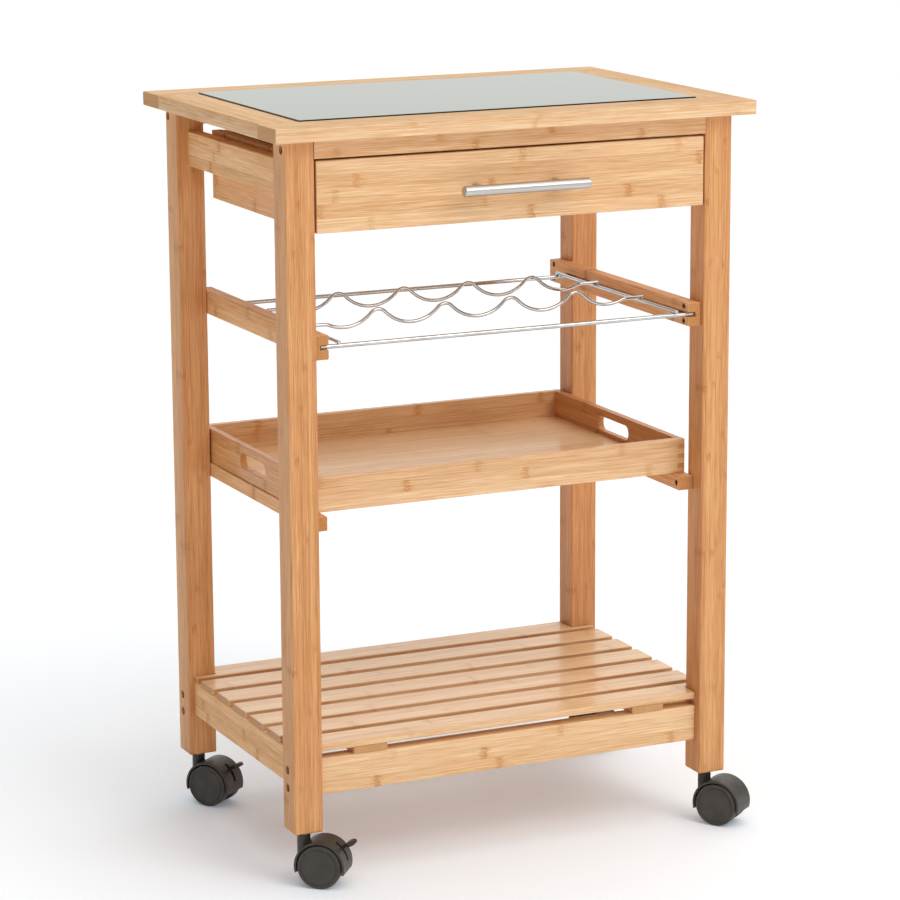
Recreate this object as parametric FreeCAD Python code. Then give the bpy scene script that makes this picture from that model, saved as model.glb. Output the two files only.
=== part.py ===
import FreeCAD, Part
import math
import os

# A bamboo kitchen cart: four legs on twin-wheel casters, a framed table top with a glass inlay,
# a drawer, a wire bottle rack, a lift-out tray and a slatted shelf.
# Millimetres. +Z is up, the front faces -Y, and the origin is on the floor, under the middle of the
# table top.

# Overall sizes
TABLE_WIDTH = 580.0
TABLE_DEPTH = 405.0
TABLE_HEIGHT = 848.0
CASTER_HEIGHT = 62.0

# Table top
TABLE_THICKNESS = 16.0
SIDE_OVERHANG = 19.0
END_OVERHANG = 22.0
TABLE_END_RAIL = 51.0
TABLE_SIDE_RAIL = 48.0
GLASS_THICKNESS = 5.0
GLASS_GAP = 1.0
GLASS_PROUD = 1.3
GLASS_ROUND = 0.4
TABLE_ROUND = 1.5

# Legs and the rails of the frame
LEG_SIZE = 34.0
LEG_ROUND = 2.2
WOOD_ROUND = 1.5
MAX_ROUND_SHARE = 0.33
TOP_RAIL_HEIGHT = 21.0
TOP_RAIL_FRONT_DEPTH = 22.0
TOP_RAIL_BACK_DEPTH = 16.0
APRON_INSET = 14.0
APRON_THICKNESS = 16.0
APRON_HEIGHT = 40.0
APRON_DROP = 26.0
LOWER_RAIL_THICKNESS = 20.0
LOWER_RAIL_HEIGHT = 41.5
LOWER_RAIL_RISE = 39.5
LOWER_RAIL_FRONT_INSET = 10.0
LOWER_RAIL_BACK_INSET = 3.5
SIDE_RAIL_INSET = 7.5
SIDE_RAIL_THICKNESS = 20.0
SIDE_RAIL_HEIGHT = 40.0

# Fasteners of the frame
DOWEL_DIAMETER = 8.0
DOWEL_BITE = 10.0
DOWEL_PITCH = 20.0
BOLT_DIAMETER = 6.0
BOLT_BITE = 36.0
BOLT_HEAD_DIAMETER = 9.5
BOLT_HEAD_HEIGHT = 4.0
BOLT_RECESS = 3.0
BOLT_SOCKET = 4.0
BOLT_PITCH = 20.4
NUT_DIAMETER = 10.0
NUT_LENGTH = 14.0
NUT_SETBACK = 30.0
SCREW_DIAMETER = 3.5
SCREW_HEAD_DIAMETER = 6.6
SCREW_HEAD_HEIGHT = 3.0
SCREW_RECESS = 1.2
SCREW_BITE = 12.0
FIT_GAP = 0.1

# Shelf
SLAT_COUNT = 7
SLAT_GAP = 12.0
SLAT_THICKNESS = 8.0
SLAT_LEG_GAP = 1.0
BATTEN_WIDTH = 40.0
BATTEN_THICKNESS = 8.0
BATTEN_SPREAD = 349.0

# Drawer
DRAWER_TOP_GAP = 2.5
DRAWER_SIDE_GAP = 1.8
DRAWER_HEIGHT = 78.0
DRAWER_LENGTH = 306.0
DRAWER_FRONT_THICKNESS = 16.0
DRAWER_WALL = 12.0
DRAWER_FLOOR_THICKNESS = 4.0
DRAWER_FLOOR_RISE = 8.0
DRAWER_BACK_BITE = 3.5
DRAWER_BACK_INSET = 6.0
PANEL_BITE = 5.0
RUNNER_HEIGHT = 10.0
RUNNER_BITE = 5.0
RUNNER_GAP = 0.3
RUNNER_SIDE_GAP = 1.0
RUNNER_SCREWS = 3

# Bar handle of the drawer
HANDLE_LENGTH = 152.0
HANDLE_DIAMETER = 12.0
HANDLE_POST_DIAMETER = 8.0
HANDLE_POST_PITCH = 96.0
HANDLE_REACH = 30.0
HANDLE_CHAMFER = 0.8
HANDLE_SCREW_DIAMETER = 4.0
HANDLE_SCREW_BITE = 9.0
HANDLE_SCREW_HEAD = 8.0
HANDLE_SCREW_HEAD_HEIGHT = 2.5

# Rails of the bottle rack
WINE_RAIL_DROP = 213.0
WINE_RAIL_HEIGHT = 27.0
WINE_RAIL_THICKNESS = 16.5
WINE_RAIL_END_INSET = 5.5
WINE_SCREW_PITCH = 17.0
GROOVE_HEIGHT = 6.0
GROOVE_DEPTH = 10.5
GROOVE_BACK_STOP = 50.0

# Wire bottle rack
CROSS_WIRE_DIAMETER = 5.0
WIRE_DIAMETER = 4.0
WIRE_GAP = 0.3
WELD_SINK = 0.3
CROSS_WIRE_FRONT = 11.5
CROSS_WIRE_PITCH = 295.0
CROSS_WIRE_END_GAP = 2.5
SIDE_WIRE_INSET = 13.5
SIDE_WIRE_TAIL = 3.0
WAVE_SEATS = 5
WAVE_PITCH = 82.0
WAVE_HEIGHT = 17.5
WAVE_TROUGH_DROP = 5.0
WAVE_PEAK_RADIUS = 12.0
WAVE_TAIL = 3.0
WAVE_FRONT_SETBACK = 84.0
WAVE_SPACING = 113.0

# Tray and its rails
TRAY_RAIL_RISE = 353.0
TRAY_RAIL_WIDTH = 18.5
TRAY_RAIL_HEIGHT = 16.5
TRAY_RAIL_END_INSET = 20.5
TRAY_SIDE_GAP = 1.7
TRAY_BACK_INSET = 0.5
TRAY_DEPTH = 322.0
TRAY_HEIGHT = 39.7
TRAY_WALL = 9.0
TRAY_SEAT_GAP = 0.3
TRAY_FLOOR_THICKNESS = 4.0
TRAY_FLOOR_RISE = 4.0
TRAY_FLOOR_BITE = 4.5
TRAY_FINGERS = 7
SLOT_LENGTH = 78.0
SLOT_HEIGHT = 17.0
SLOT_RISE = 22.0
SLOT_ROUND = 1.5
TRAY_ROUND = 1.0

# Casters
WHEEL_DIAMETER = 50.0
WHEEL_WIDTH = 12.5
WHEEL_ROUND = 1.8
WHEEL_RING_RADIUS = 21.0
WHEEL_RING_WIDTH = 1.0
WHEEL_RING_DEPTH = 0.5
CASTER_OFFSET = 22.0
CASTER_WEB = 12.0
CASTER_SIDE_GAP = 0.5
HOOD_GAP = 1.5
HOOD_WALL = 2.5
HOOD_SHORTFALL = 1.0
HOOD_END_ANGLE = 15.0
HOOD_ROUND = 0.6
BARREL_DIAMETER = 15.0
BARREL_HEIGHT = 24.0
STEM_DIAMETER = 8.0
STEM_BITE = 35.0
STEM_REACH = 22.0
COLLAR_DIAMETER = 13.0
COLLAR_HEIGHT = 3.7
COLLAR_GAP = 0.3
RUNNING_GAP = 0.05
AXLE_DIAMETER = 6.0
AXLE_BITE = 8.5
AXLE_BOSS_DIAMETER = 14.0
AXLE_END_GAP = 0.3
CASTER_ANGLE = 53.0
FRONT_LEFT_CASTER_ANGLE = 39.0

# Brake levers, on the two left casters
LEVER_ANGLE = 41.0
LEVER_DOWN_ANGLE = 25.0
LEVER_UP_ANGLE = 12.0
LEVER_THICKNESS = 3.6
LEVER_ARM = 4.0
LEVER_HUB_DIAMETER = 12.0
LEVER_SIDE_GAP = 0.3
LEVER_END_GAP = 0.8
PADDLE_LENGTH = 14.5
PADDLE_WIDTH = 10.0
PADDLE_THICKNESS = 5.5
PADDLE_EDGE = 1.6
PADDLE_GAP = 5.5
PADDLE_TILT_ANGLE = 16.0
BRAKED_SIDE = "left"

V = FreeCAD.Vector
X_AXIS = V(1, 0, 0)
Y_AXIS = V(0, 1, 0)
Z_AXIS = V(0, 0, 1)
LEFT, RIGHT = -1, 1
FRONT, BACK = -1, 1
SIDE_NAMES = {LEFT: "left", RIGHT: "right"}
END_NAMES = {FRONT: "front", BACK: "back"}
CORNERS = [(end, side) for end in (FRONT, BACK) for side in (LEFT, RIGHT)]

# Places that follow from the sizes
leg_outer_x = TABLE_WIDTH / 2 - SIDE_OVERHANG
leg_inner_x = leg_outer_x - LEG_SIZE
leg_outer_y = TABLE_DEPTH / 2 - END_OVERHANG
leg_inner_y = leg_outer_y - LEG_SIZE
leg_mid_x = leg_outer_x - LEG_SIZE / 2
leg_mid_y = leg_outer_y - LEG_SIZE / 2
leg_bottom = CASTER_HEIGHT
leg_top = TABLE_HEIGHT - TABLE_THICKNESS


def corner_name(end, side):
    return END_NAMES[end] + "_" + SIDE_NAMES[side]


def block(x, y, z):
    """A box between pairs of limits, given in either order."""
    low = V(min(x), min(y), min(z))
    return Part.makeBox(abs(x[1] - x[0]), abs(y[1] - y[0]), abs(z[1] - z[0]), low)


def soft_block(x, y, z, radius):
    """A box with all edges rounded, by no more than a share of its thinnest side."""
    sides = [abs(x[1] - x[0]), abs(y[1] - y[0]), abs(z[1] - z[0])]
    shape = block(x, y, z)
    return shape.makeFillet(min(radius, min(sides) * MAX_ROUND_SHARE), shape.Edges)


def rod(diameter, start, end):
    axis = end - start
    return Part.makeCylinder(diameter / 2, axis.Length, start, axis)


def turned(profile, start, direction):
    """A solid of revolution: (radius, distance) points turned about a line from start."""
    points = [V(radius, 0, along) for radius, along in profile]
    face = Part.Face(Part.makePolygon(points + [points[0]]))
    solid = face.revolve(V(0, 0, 0), Z_AXIS, 360)
    solid.Placement = FreeCAD.Placement(start, FreeCAD.Rotation(Z_AXIS, direction))
    return solid


def cut_all(shape, tools):
    tools = list(tools)
    return shape.cut(tools) if tools else shape


def whole(shape):
    """The single solid inside a boolean's result."""
    if len(shape.Solids) != 1:
        raise ValueError("expected one solid, found %d" % len(shape.Solids))
    return shape.Solids[0]


def save(name, shapes):
    solids = [whole(shape) for shape in shapes]
    result = solids[0] if len(solids) == 1 else Part.makeCompound(solids)
    result.exportStep(os.path.join("parts", name + ".step"))


# Fasteners: each has a solid, and a slightly larger hole for the wood it sits in.

def screw_profile(length, grow):
    shank = SCREW_DIAMETER / 2 + grow
    head = SCREW_HEAD_DIAMETER / 2 + grow
    taper = length - SCREW_DIAMETER
    return [(0, 0), (head, 0), (shank, SCREW_HEAD_HEIGHT), (shank, taper), (0, length + grow)]


def screw(point, direction, length):
    """A countersunk screw whose head lies just under the face at point."""
    return turned(screw_profile(length, 0), point + direction * SCREW_RECESS, direction)


def screw_hole(point, direction, length):
    seat = point + direction * SCREW_RECESS
    mouth = rod(SCREW_HEAD_DIAMETER + 2 * FIT_GAP, point - direction * SCREW_RECESS, seat)
    return turned(screw_profile(length, FIT_GAP), seat, direction).fuse(mouth)


def bolt(point, direction, length):
    """A socket-head bolt, sunk under the face at point."""
    seat = point + direction * BOLT_RECESS
    shoulder = seat + direction * BOLT_HEAD_HEIGHT
    shank = rod(BOLT_DIAMETER, shoulder, point + direction * length)
    socket_radius = BOLT_SOCKET / 2 / math.cos(math.pi / 6)
    turns = [math.pi / 3 * i for i in range(7)]
    outline = Part.makePolygon([V(math.cos(turn), math.sin(turn), 0) * socket_radius for turn in turns])
    socket = Part.Face(outline).extrude(Z_AXIS * (BOLT_HEAD_HEIGHT / 2))
    socket.Placement = FreeCAD.Placement(seat, FreeCAD.Rotation(Z_AXIS, direction))
    return rod(BOLT_HEAD_DIAMETER, seat, shoulder).fuse(shank).cut(socket)


def bolt_hole(point, direction, length):
    shoulder = point + direction * (BOLT_RECESS + BOLT_HEAD_HEIGHT)
    mouth = rod(BOLT_HEAD_DIAMETER + 2 * FIT_GAP, point - direction * BOLT_RECESS, shoulder)
    return mouth.fuse(rod(BOLT_DIAMETER + 2 * FIT_GAP, shoulder, point + direction * (length + FIT_GAP)))


def dowel(point, direction):
    """A dowel centred on a joint face."""
    return rod(DOWEL_DIAMETER, point - direction * DOWEL_BITE, point + direction * DOWEL_BITE)


def dowel_hole(point, direction):
    reach = DOWEL_BITE + FIT_GAP
    return rod(DOWEL_DIAMETER + 2 * FIT_GAP, point - direction * reach, point + direction * reach)


bolts = []
nuts = []
dowels = []
screws = []
holes = {}


def drill(hole, *nodes):
    """Notes a hole for each node that it goes into."""
    for node in nodes:
        holes.setdefault(node, []).append(hole)


def add_screw(point, direction, length, *nodes):
    screws.append(screw(point, direction, length))
    drill(screw_hole(point, direction, length), *nodes)


def add_dowel(point, direction, *nodes):
    dowels.append(dowel(point, direction))
    drill(dowel_hole(point, direction), *nodes)


def add_bolt(side, y, z, inward, leg_node, rail_node):
    """A bolt through a leg into a rail's end, with its cross nut let in from the rail's inner face."""
    point = V(side * leg_outer_x, y, z)
    direction = V(-side, 0, 0)
    length = LEG_SIZE + BOLT_BITE
    bolts.append(bolt(point, direction, length))
    drill(bolt_hole(point, direction, length), leg_node, rail_node)
    middle = V(side * (leg_inner_x - NUT_SETBACK), y, z)
    half = V(0, inward * NUT_LENGTH / 2, 0)
    nut = rod(NUT_DIAMETER, middle - half, middle + half)
    nuts.append(nut.cut(bolt_hole(point, direction, length)))
    mouth = middle + V(0, inward * (LOWER_RAIL_THICKNESS + TOP_RAIL_FRONT_DEPTH), 0)
    drill(rod(NUT_DIAMETER + 2 * FIT_GAP, middle - half - V(0, inward * FIT_GAP, 0), mouth), rail_node)


def drilled(name, shape):
    return cut_all(shape, holes.get(name, []))


def finger_cells(x, y, z, count, first):
    """Every second cell of a corner post between two walls, starting with cell number first."""
    step = (z[1] - z[0]) / count
    return [block(x, y, (z[0] + i * step, z[0] + (i + 1) * step)) for i in range(first, count, 2)]


# Top rails, bolted between the legs under the table top

top_rail_z = (leg_top - TOP_RAIL_HEIGHT, leg_top)
top_rail_y = {
    FRONT: (-leg_outer_y, -leg_outer_y + TOP_RAIL_FRONT_DEPTH),
    BACK: (leg_outer_y - TOP_RAIL_BACK_DEPTH, leg_outer_y),
}
between_legs = (-leg_inner_x, leg_inner_x)
top_rails = {}
for end in (FRONT, BACK):
    node = "top_rail_" + END_NAMES[end]
    top_rails[node] = block(between_legs, top_rail_y[end], top_rail_z)
    for side in (LEFT, RIGHT):
        add_bolt(side, sum(top_rail_y[end]) / 2, sum(top_rail_z) / 2, -end,
                 "leg_" + corner_name(end, side), node)

# Lower rails, two bolts at each end, which carry the shelf

lower_rail_z = (leg_bottom + LOWER_RAIL_RISE, leg_bottom + LOWER_RAIL_RISE + LOWER_RAIL_HEIGHT)
front_rail_face = -leg_outer_y + LOWER_RAIL_FRONT_INSET
back_rail_face = leg_outer_y - LOWER_RAIL_BACK_INSET
lower_rail_y = {
    FRONT: (front_rail_face, front_rail_face + LOWER_RAIL_THICKNESS),
    BACK: (back_rail_face - LOWER_RAIL_THICKNESS, back_rail_face),
}
lower_rails = {}
for end in (FRONT, BACK):
    node = "lower_rail_" + END_NAMES[end]
    lower_rails[node] = soft_block(between_legs, lower_rail_y[end], lower_rail_z, WOOD_ROUND)
    for side in (LEFT, RIGHT):
        for step in (-BOLT_PITCH / 2, BOLT_PITCH / 2):
            add_bolt(side, sum(lower_rail_y[end]) / 2, sum(lower_rail_z) / 2 + step, -end,
                     "leg_" + corner_name(end, side), node)

# Side frames: an apron and a lower side rail, dowelled between the legs of each side

shelf_bearing = lower_rail_z[1] + BATTEN_THICKNESS
apron_z = (leg_top - APRON_DROP - APRON_HEIGHT, leg_top - APRON_DROP)
side_rail_z = (shelf_bearing - SIDE_RAIL_HEIGHT, shelf_bearing)
apron_x = (leg_outer_x - APRON_INSET - APRON_THICKNESS, leg_outer_x - APRON_INSET)
side_rail_x = (leg_outer_x - SIDE_RAIL_INSET - SIDE_RAIL_THICKNESS, leg_outer_x - SIDE_RAIL_INSET)
between_ends = (-leg_inner_y, leg_inner_y)
side_members = {}
for side in (LEFT, RIGHT):
    for prefix, x, z in (("apron_", apron_x, apron_z), ("lower_side_rail_", side_rail_x, side_rail_z)):
        node = prefix + SIDE_NAMES[side]
        side_members[node] = soft_block((side * x[0], side * x[1]), between_ends, z, WOOD_ROUND)
        for end in (FRONT, BACK):
            for step in (-DOWEL_PITCH / 2, DOWEL_PITCH / 2):
                joint = V(side * sum(x) / 2, end * leg_inner_y, sum(z) / 2 + step)
                add_dowel(joint, Y_AXIS, node, "leg_" + corner_name(end, side))

# Table top: two long rails, two short ones between them, a panel and the glass

table_z = (leg_top, TABLE_HEIGHT)
opening_x = TABLE_WIDTH / 2 - TABLE_SIDE_RAIL
opening_y = TABLE_DEPTH / 2 - TABLE_END_RAIL
glass_top = TABLE_HEIGHT + GLASS_PROUD
glass_bottom = glass_top - GLASS_THICKNESS
table = {}
for end in (FRONT, BACK):
    node = "table_rail_" + END_NAMES[end]
    y = (end * opening_y, end * TABLE_DEPTH / 2)
    table[node] = soft_block((-TABLE_WIDTH / 2, TABLE_WIDTH / 2), y, table_z, TABLE_ROUND)
    rail_middle = sum(top_rail_y[end]) / 2
    for x in (-leg_inner_x / 2, 0, leg_inner_x / 2):
        add_screw(V(x, rail_middle, top_rail_z[0]), Z_AXIS, TOP_RAIL_HEIGHT + TABLE_THICKNESS / 2,
                  "top_rail_" + END_NAMES[end], node)
for side in (LEFT, RIGHT):
    x = (side * opening_x, side * TABLE_WIDTH / 2)
    table["table_rail_" + SIDE_NAMES[side]] = soft_block(x, (-opening_y, opening_y), table_z, TABLE_ROUND)
table["table_panel"] = block((-opening_x, opening_x), (-opening_y, opening_y), (leg_top, glass_bottom))
glass_x = opening_x - GLASS_GAP
glass_y = opening_y - GLASS_GAP
glass_z = (glass_bottom, glass_top)
table["table_glass"] = soft_block((-glass_x, glass_x), (-glass_y, glass_y), glass_z, GLASS_ROUND)

# Shelf: slats across the cart on two battens and on the lower side rails

slat_span = (lower_rail_y[FRONT][0], lower_rail_y[BACK][1])
slat_width = (slat_span[1] - slat_span[0] - (SLAT_COUNT - 1) * SLAT_GAP) / SLAT_COUNT
slat_z = (shelf_bearing, shelf_bearing + SLAT_THICKNESS)
batten_z = (lower_rail_z[1], shelf_bearing)
leg_clearance = [
    block((side * (leg_inner_x - SLAT_LEG_GAP), side * TABLE_WIDTH),
          (end * (leg_inner_y - SLAT_LEG_GAP), end * TABLE_DEPTH), slat_z)
    for end, side in CORNERS]
slats = []
for i in range(SLAT_COUNT):
    start = slat_span[0] + i * (slat_width + SLAT_GAP)
    slat = soft_block((-side_rail_x[1], side_rail_x[1]), (start, start + slat_width), slat_z, WOOD_ROUND)
    slats.append(cut_all(slat, leg_clearance))
    for side in (LEFT, RIGHT):
        point = V(side * BATTEN_SPREAD / 2, start + slat_width / 2, batten_z[0])
        add_screw(point, Z_AXIS, BATTEN_THICKNESS + SLAT_THICKNESS / 2, "shelf_slats", "shelf_battens")
slats = [drilled("shelf_slats", slat) for slat in slats]
battens = []
for side in (LEFT, RIGHT):
    middle = side * BATTEN_SPREAD / 2
    batten = block((middle - BATTEN_WIDTH / 2, middle + BATTEN_WIDTH / 2), slat_span, batten_z)
    battens.append(drilled("shelf_battens", batten))

# Drawer: a front, two grooved sides, a back let into the sides and a thin floor

drawer_x = leg_inner_x - DRAWER_SIDE_GAP
drawer_top = top_rail_z[0] - DRAWER_TOP_GAP
drawer_z = (drawer_top - DRAWER_HEIGHT, drawer_top)
drawer_face = -leg_outer_y
drawer_y = (drawer_face + DRAWER_FRONT_THICKNESS, drawer_face + DRAWER_LENGTH)
floor_z = (drawer_z[0] + DRAWER_FLOOR_RISE, drawer_z[0] + DRAWER_FLOOR_RISE + DRAWER_FLOOR_THICKNESS)
inner_x = drawer_x - DRAWER_WALL
back_y = (drawer_y[1] - DRAWER_BACK_INSET - DRAWER_WALL, drawer_y[1] - DRAWER_BACK_INSET)
floor_x = inner_x + PANEL_BITE
floor_y = (drawer_y[0] - PANEL_BITE, back_y[0] + PANEL_BITE)
drawer_floor = block((-floor_x, floor_x), floor_y, floor_z)
floor_groove = block((-floor_x - FIT_GAP, floor_x + FIT_GAP), (floor_y[0] - FIT_GAP, floor_y[1] + FIT_GAP),
                     (floor_z[0] - FIT_GAP, floor_z[1] + FIT_GAP))
runner_middle = sum(apron_z) / 2
runner_z = (runner_middle - RUNNER_HEIGHT / 2, runner_middle + RUNNER_HEIGHT / 2)
runner_x = (drawer_x - RUNNER_BITE, apron_x[0])
runner_groove_x = (runner_x[0] - RUNNER_SIDE_GAP, TABLE_WIDTH)
runner_groove_z = (runner_z[0] - RUNNER_GAP, runner_z[1] + RUNNER_GAP)
runner_groove_y = (-leg_inner_y - RUNNER_SIDE_GAP, TABLE_DEPTH)

handle_z = sum(drawer_z) / 2
handle_axis_y = drawer_face - HANDLE_REACH
post_x = (-HANDLE_POST_PITCH / 2, HANDLE_POST_PITCH / 2)
drawer_front = soft_block((-drawer_x, drawer_x), (drawer_face, drawer_y[0]), drawer_z, WOOD_ROUND)
drawer_front = drawer_front.cut(floor_groove)
for x in post_x:
    way_ends = [V(x, y, handle_z) for y in (drawer_y[0], handle_axis_y)]
    drawer_front = drawer_front.cut(rod(HANDLE_SCREW_DIAMETER + 2 * FIT_GAP, way_ends[0], way_ends[1]))
drawer = {"drawer_front": drawer_front, "drawer_bottom": drawer_floor}
back_x = inner_x + DRAWER_BACK_BITE
drawer["drawer_back"] = block((-back_x, back_x), back_y, drawer_z).cut(floor_groove)
back_groove_x = back_x + FIT_GAP
back_groove_y = (back_y[0] - FIT_GAP, back_y[1] + FIT_GAP)
back_groove = block((-back_groove_x, back_groove_x), back_groove_y, drawer_z)
for side in (LEFT, RIGHT):
    wall = block((side * inner_x, side * drawer_x), drawer_y, drawer_z)
    groove_x = (side * runner_groove_x[0], side * runner_groove_x[1])
    runner_groove = block(groove_x, runner_groove_y, runner_groove_z)
    drawer["drawer_side_" + SIDE_NAMES[side]] = wall.cut([floor_groove, back_groove, runner_groove])

runners = []
for side in (LEFT, RIGHT):
    runner = block((side * runner_x[0], side * runner_x[1]), between_ends, runner_z)
    node = "runner_" + SIDE_NAMES[side]
    for i in range(RUNNER_SCREWS):
        y = -leg_inner_y + (i + 0.5) * 2 * leg_inner_y / RUNNER_SCREWS
        point = V(side * runner_x[0], y, runner_middle)
        length = runner_x[1] - runner_x[0] + SCREW_BITE
        add_screw(point, V(side, 0, 0), length, node, "apron_" + SIDE_NAMES[side])
    runners.append(drilled(node, runner))

# Bar handle: a round bar on two posts, screwed from inside the drawer

bar_half = V(HANDLE_LENGTH / 2, 0, 0)
bar_middle = V(0, handle_axis_y, handle_z)
handle_bar = rod(HANDLE_DIAMETER, bar_middle - bar_half, bar_middle + bar_half)
bar_space = rod(HANDLE_DIAMETER + FIT_GAP, bar_middle - bar_half, bar_middle + bar_half)
handle_bar = handle_bar.makeChamfer(HANDLE_CHAMFER, handle_bar.Edges)
handle_posts = []
handle_screws = []
for x in post_x:
    foot = V(x, drawer_face, handle_z)
    post = rod(HANDLE_POST_DIAMETER, foot, V(x, handle_axis_y, handle_z)).cut(bar_space)
    inside = V(x, drawer_y[0], handle_z)
    tip = foot - Y_AXIS * HANDLE_SCREW_BITE
    handle_posts.append(post.cut(rod(HANDLE_SCREW_DIAMETER + 2 * FIT_GAP, inside, tip - Y_AXIS * FIT_GAP)))
    head = rod(HANDLE_SCREW_HEAD, inside, inside + Y_AXIS * HANDLE_SCREW_HEAD_HEIGHT)
    handle_screws.append(rod(HANDLE_SCREW_DIAMETER, inside, tip).fuse(head))

# Bottle rack rails: grooved strips on the inner faces of the legs

wine_z = (leg_top - WINE_RAIL_DROP - WINE_RAIL_HEIGHT, leg_top - WINE_RAIL_DROP)
wine_middle = sum(wine_z) / 2
wine_inner_x = leg_inner_x - WINE_RAIL_THICKNESS
wine_y = (-leg_outer_y + WINE_RAIL_END_INSET, leg_outer_y - WINE_RAIL_END_INSET)
groove_z = (wine_middle - GROOVE_HEIGHT / 2, wine_middle + GROOVE_HEIGHT / 2)
groove_floor_x = wine_inner_x + GROOVE_DEPTH
wine_rails = {}
for side in (LEFT, RIGHT):
    node = "wine_rail_" + SIDE_NAMES[side]
    rail = soft_block((side * wine_inner_x, side * leg_inner_x), wine_y, wine_z, WOOD_ROUND)
    groove = block((0, side * groove_floor_x), (-TABLE_DEPTH, leg_outer_y - GROOVE_BACK_STOP), groove_z)
    wine_rails[node] = rail.cut(groove)
    for end in (FRONT, BACK):
        for step in (-WINE_SCREW_PITCH / 2, WINE_SCREW_PITCH / 2):
            point = V(side * wine_inner_x, end * leg_mid_y, wine_middle + step)
            length = WINE_RAIL_THICKNESS + SCREW_BITE
            add_screw(point, V(side, 0, 0), length, node, "leg_" + corner_name(end, side))

# Bottle rack: two cross wires in the grooves, two side wires on them, two waves on those

cross_z = groove_z[0] + WIRE_GAP + CROSS_WIRE_DIAMETER / 2
cross_x = groove_floor_x - CROSS_WIRE_END_GAP
cross_y = (-leg_outer_y + CROSS_WIRE_FRONT, -leg_outer_y + CROSS_WIRE_FRONT + CROSS_WIRE_PITCH)
side_wire_x = wine_inner_x - SIDE_WIRE_INSET
side_wire_z = cross_z + CROSS_WIRE_DIAMETER / 2 + WIRE_DIAMETER / 2 - WELD_SINK
cross_wires = [rod(CROSS_WIRE_DIAMETER, V(-cross_x, y, cross_z), V(cross_x, y, cross_z)) for y in cross_y]
side_wires = []
for side in (LEFT, RIGHT):
    x = side * side_wire_x
    side_wires.append(rod(WIRE_DIAMETER, V(x, cross_y[0] - SIDE_WIRE_TAIL, side_wire_z),
                          V(x, cross_y[1] + SIDE_WIRE_TAIL, side_wire_z)))

wave_end_z = side_wire_z + WIRE_DIAMETER - WELD_SINK
trough_z = wave_end_z - WAVE_TROUGH_DROP
half_pitch = WAVE_PITCH / 2
# Arcs of a trough and a peak that touch half-way up: their radii add up to this
wave_radii = (half_pitch ** 2 + WAVE_HEIGHT ** 2) / (2 * WAVE_HEIGHT)
trough_radius = wave_radii - WAVE_PEAK_RADIUS


def wave_edges(y):
    """A wire across the rack: round seats, tighter crests, and level tails on the side wires."""
    def at(x, z):
        return V(x, y, z)

    def trough_point(middle, angle):
        rise = trough_radius * (1 - math.cos(angle))
        return at(middle + trough_radius * math.sin(angle), trough_z + rise)

    rise_angle = math.asin(half_pitch / wave_radii)
    tail_angle = math.acos(1 - WAVE_TROUGH_DROP / wave_radii)
    peak_top = trough_z + WAVE_HEIGHT
    last = (WAVE_SEATS - 1) / 2 * WAVE_PITCH
    tail_start = last + wave_radii * math.sin(tail_angle)
    bend_half = tail_angle / 2
    bend_x = tail_start - WAVE_PEAK_RADIUS * math.sin(bend_half)
    bend_z = wave_end_z - WAVE_PEAK_RADIUS * (1 - math.cos(bend_half))
    tail_stop = at(-tail_start, wave_end_z)
    edges = [Part.LineSegment(at(-side_wire_x - WAVE_TAIL, wave_end_z), tail_stop)]
    edges.append(Part.Arc(tail_stop, at(-bend_x, bend_z), trough_point(-last, -tail_angle)))
    for seat in range(WAVE_SEATS):
        middle = -last + seat * WAVE_PITCH
        start = tail_angle if seat == 0 else rise_angle
        stop = tail_angle if seat == WAVE_SEATS - 1 else rise_angle
        seat_end = trough_point(middle, stop)
        edges.append(Part.Arc(trough_point(middle, -start), at(middle, trough_z), seat_end))
        if seat < WAVE_SEATS - 1:
            next_seat = trough_point(middle + WAVE_PITCH, -rise_angle)
            edges.append(Part.Arc(seat_end, at(middle + half_pitch, peak_top), next_seat))
    edges.append(Part.Arc(trough_point(last, tail_angle), at(bend_x, bend_z), at(tail_start, wave_end_z)))
    edges.append(Part.LineSegment(at(tail_start, wave_end_z), at(side_wire_x + WAVE_TAIL, wave_end_z)))
    return [edge.toShape() for edge in edges]


def wave_wire(y):
    path = Part.Wire(wave_edges(y))
    tail_end = V(-side_wire_x - WAVE_TAIL, y, wave_end_z)
    ring = Part.Wire(Part.makeCircle(WIRE_DIAMETER / 2, tail_end, X_AXIS))
    solid = path.makePipeShell([ring], True, False)
    share = solid.Volume / (math.pi * WIRE_DIAMETER ** 2 / 4 * path.Length)
    print("wave wire: length %.1f, volume over section times length %.4f" % (path.Length, share))
    return solid


wave_front_y = cross_y[0] + WAVE_FRONT_SETBACK
waves = {
    "rack_wave_front": wave_wire(wave_front_y),
    "rack_wave_back": wave_wire(wave_front_y + WAVE_SPACING),
}

# Tray rails on the inner faces of the legs

tray_rail_top = leg_bottom + TRAY_RAIL_RISE
tray_rail_z = (tray_rail_top - TRAY_RAIL_HEIGHT, tray_rail_top)
tray_rail_x = leg_inner_x - TRAY_RAIL_WIDTH
tray_rail_y = leg_outer_y - TRAY_RAIL_END_INSET
tray_screw_y = (tray_rail_y + leg_inner_y) / 2
tray_rails = []
for side in (LEFT, RIGHT):
    node = "tray_rail_" + SIDE_NAMES[side]
    rail_x = (side * tray_rail_x, side * leg_inner_x)
    rail = soft_block(rail_x, (-tray_rail_y, tray_rail_y), tray_rail_z, WOOD_ROUND)
    for end in (FRONT, BACK):
        point = V(side * tray_rail_x, end * tray_screw_y, sum(tray_rail_z) / 2)
        length = TRAY_RAIL_WIDTH + SCREW_BITE
        add_screw(point, V(side, 0, 0), length, node, "leg_" + corner_name(end, side))
    tray_rails.append(drilled(node, rail))

# Tray: four finger-jointed walls round a thin base, with a hand slot in each side

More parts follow.
